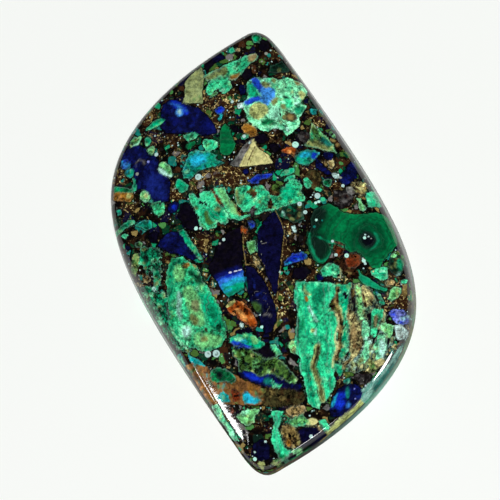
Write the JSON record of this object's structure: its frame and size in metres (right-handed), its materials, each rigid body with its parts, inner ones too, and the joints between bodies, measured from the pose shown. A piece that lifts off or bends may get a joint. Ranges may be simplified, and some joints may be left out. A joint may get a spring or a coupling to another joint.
{
  "type": "azurite and malachite cabochon",
  "caption": "Freeform S-curved polished cabochon of bonded azurite and malachite chips, with a low dome, rounded shoulder, near-upright wall and flat back.",
  "frame": {"origin": "middle of the flat back, in the plane that the stone lies on", "axes": "+Z from the flat back to the top of the dome, +Y from the lower tip to the upper tip, +X to the right seen from above"},
  "size_m": [0.0244, 0.0354, 0.0054],
  "materials": {
    "polished_stone": "polished"
  },
  "bodies": {
    "root": {"azurite_cabochon": "polished_stone"}
  },
  "joints": []
}
